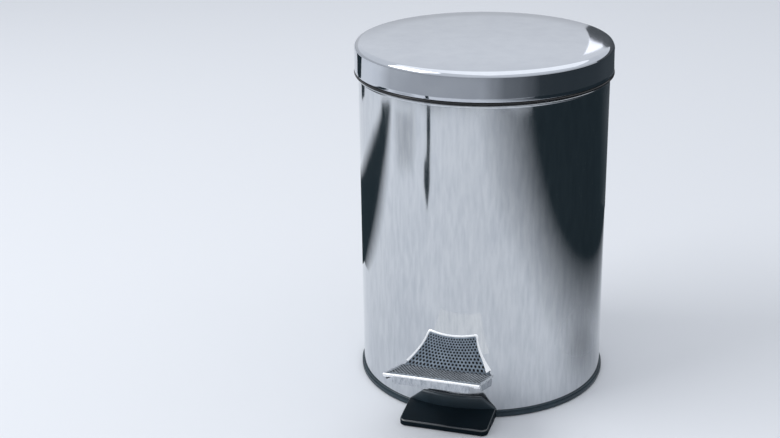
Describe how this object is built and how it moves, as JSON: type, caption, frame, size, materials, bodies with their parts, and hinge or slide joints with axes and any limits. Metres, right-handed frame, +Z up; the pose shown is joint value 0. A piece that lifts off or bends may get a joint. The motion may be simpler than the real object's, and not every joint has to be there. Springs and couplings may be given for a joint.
{
  "type": "pedal bin",
  "caption": "Round steel pedal bin whose foot pedal lifts the hinged lid through a lever and a push rod, with a lift-out bucket and its carrying handle.",
  "frame": {"origin": "centre of the bin on the floor, the underside of its rubber ring", "axes": "+Z up, the pedal towards -Y, the lid's hinge towards +Y"},
  "size_m": [0.2046, 0.2746, 0.279],
  "materials": {
    "sleeve_steel": "bright, fine brushing up and down",
    "lid_steel": "bright, polished",
    "pedal_steel": "bright pressed sheet",
    "fastener_steel": "turned and polished",
    "zinc_steel": "zinc plated, dull",
    "wire_steel": "drawn and plated wire",
    "gloss_black_plastic": "moulded, glossy",
    "black_plastic": "moulded, satin",
    "bucket_plastic": "moulded, fine grain",
    "rubber": "matt"
  },
  "bodies": {
    "bin": {"body_shell": "sleeve_steel", "rim_ring": "gloss_black_plastic", "base_ring": "black_plastic", "foot_plate": "black_plastic", "anti_slip_pads": "rubber", "slot_trim": "black_plastic", "lever_axle": "zinc_steel", "axle_caps": "zinc_steel", "rod_guide": "black_plastic", "guide_rivets": "fastener_steel", "hinge_housing": "black_plastic", "hinge_pin": "fastener_steel", "housing_screws": "fastener_steel", "housing_nuts": "zinc_steel"},
    "lever": {"pedal_lever": "zinc_steel", "pedal_pad": "pedal_steel", "rod_pin": "zinc_steel", "rod_clip": "zinc_steel"},
    "rod": {"push_rod": "zinc_steel"},
    "lid": {"lid_shell": "lid_steel", "lid_bracket": "black_plastic", "bracket_rivets": "fastener_steel", "crank_pin": "fastener_steel"},
    "bucket": {"bucket": "bucket_plastic"},
    "bail": {"bail_wire": "wire_steel", "bail_grip": "black_plastic"}
  },
  "joints": [
    {"name": "lid_open", "type": "hinge", "parent": "bin", "child": "lid", "pos_m": [0, 0.108, 0.252], "axis": [-1, 0, 0], "range_deg": [0, 70]},
    {"name": "pedal_press", "type": "hinge", "parent": "bin", "child": "lever", "pos_m": [0, -0.03226, 0.03], "axis": [1, 0, 0], "range_deg": [0, 7]},
    {"name": "rod_swing", "type": "hinge", "parent": "lever", "child": "rod", "pos_m": [0, 0.0935, 0.02231], "axis": [1, 0, 0], "range_deg": [-7, 0]},
    {"name": "bucket_lift", "type": "slide", "parent": "bin", "child": "bucket", "axis": [0, 0, 1], "range_m": [0, 0.01]},
    {"name": "bail_swing", "type": "hinge", "parent": "bucket", "child": "bail", "pos_m": [0, 0, 0.247], "axis": [-1, 0, 0], "range_deg": [0, 12]}
  ],
  "couplings": [
    {"joint": "pedal_press", "follows": "lid_open", "ratio": 0.1},
    {"joint": "rod_swing", "follows": "lid_open", "ratio": -0.1}
  ]
}
